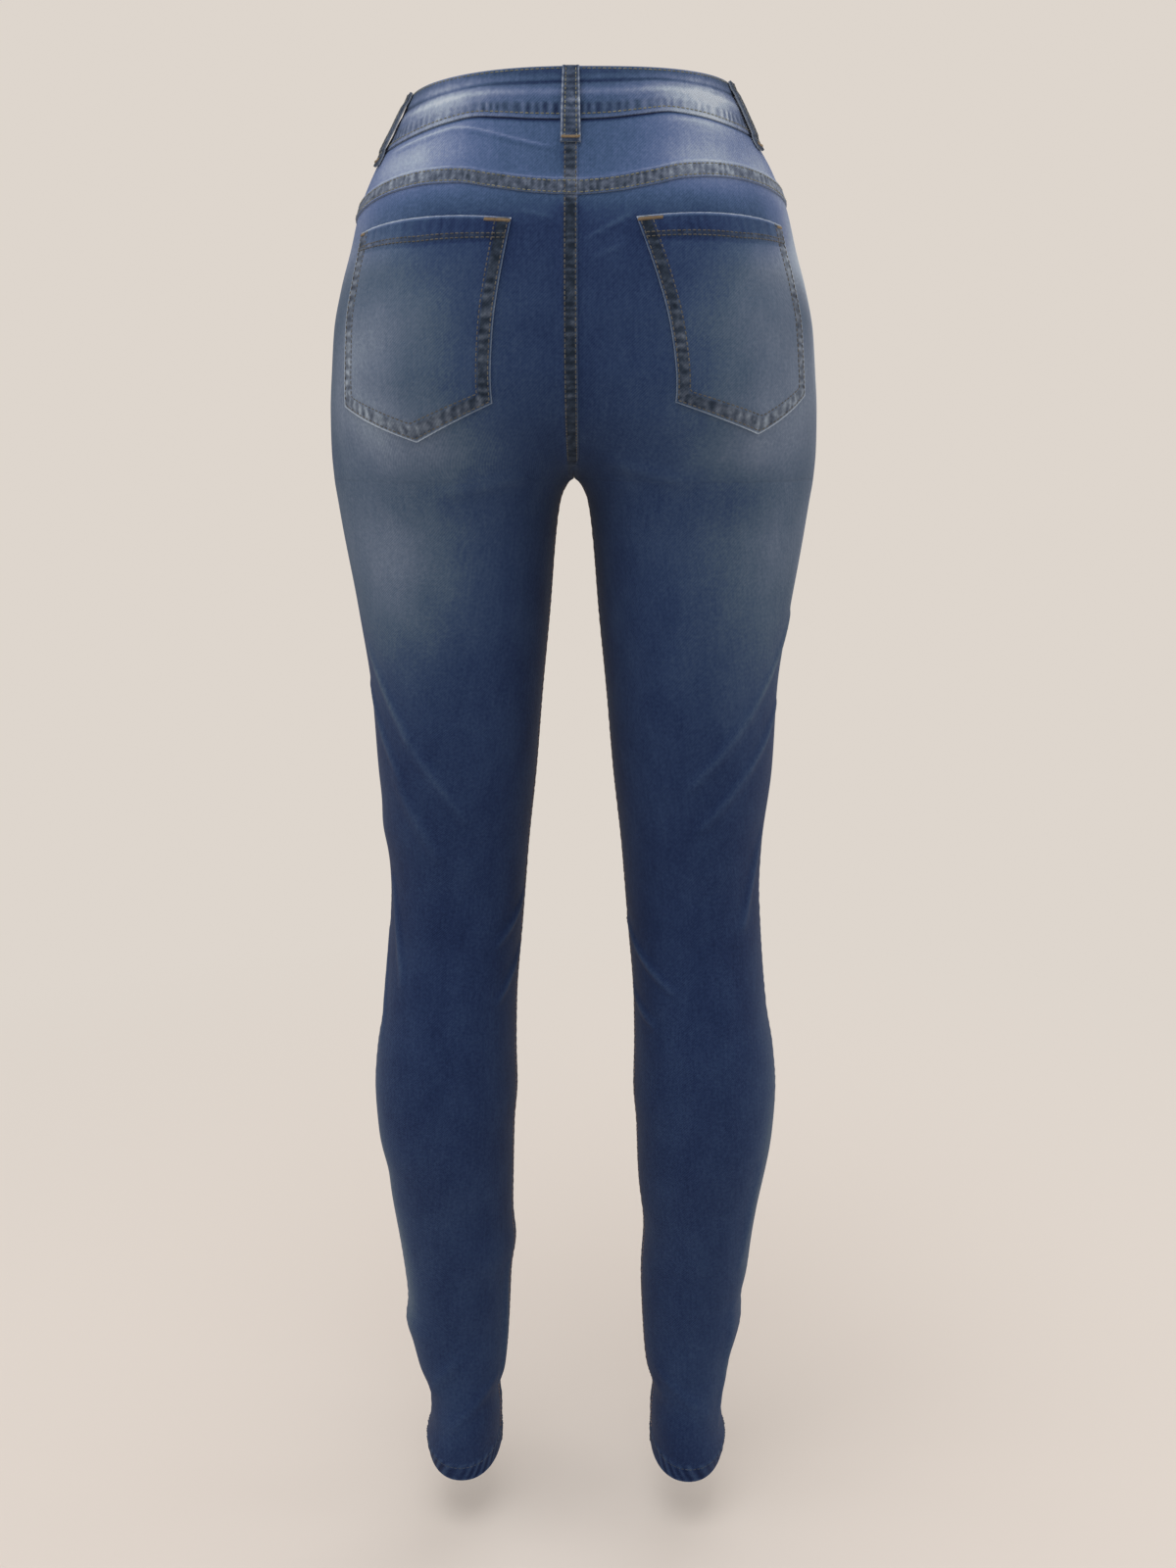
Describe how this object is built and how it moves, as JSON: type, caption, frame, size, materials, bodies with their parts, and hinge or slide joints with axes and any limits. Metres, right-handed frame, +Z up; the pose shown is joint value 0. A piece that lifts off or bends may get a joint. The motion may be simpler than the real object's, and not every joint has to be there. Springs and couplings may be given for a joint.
{
  "type": "skinny jeans",
  "caption": "Women's high-rise skinny jeans in worn form: slim closed legs, back yokes, patch pockets, lapped waistband with belt loops and a closed fly.",
  "frame": {"origin": "centre of the waist opening at half the waistband's height, where the wearer's waist holds the jeans", "axes": "+Z up out of the waist, the front faces -Y and the back +Y, the wearer's left is +X"},
  "size_m": [0.337, 0.2297, 1.0324],
  "materials": {
    "denim": "mid-blue stretch denim twill, faded at the seat and thighs",
    "button": "aged copper-brown metal, satin"
  },
  "bodies": {
    "root": {"back_left": "denim", "back_right": "denim", "front_left": "denim", "front_right": "denim", "yoke_left": "denim", "yoke_right": "denim", "pocket_left": "denim", "pocket_right": "denim", "waistband": "denim", "loop_back": "denim", "loop_left": "denim", "loop_right": "denim", "loop_front_left": "denim", "loop_front_right": "denim", "fly": "denim", "button": "button"}
  },
  "joints": []
}
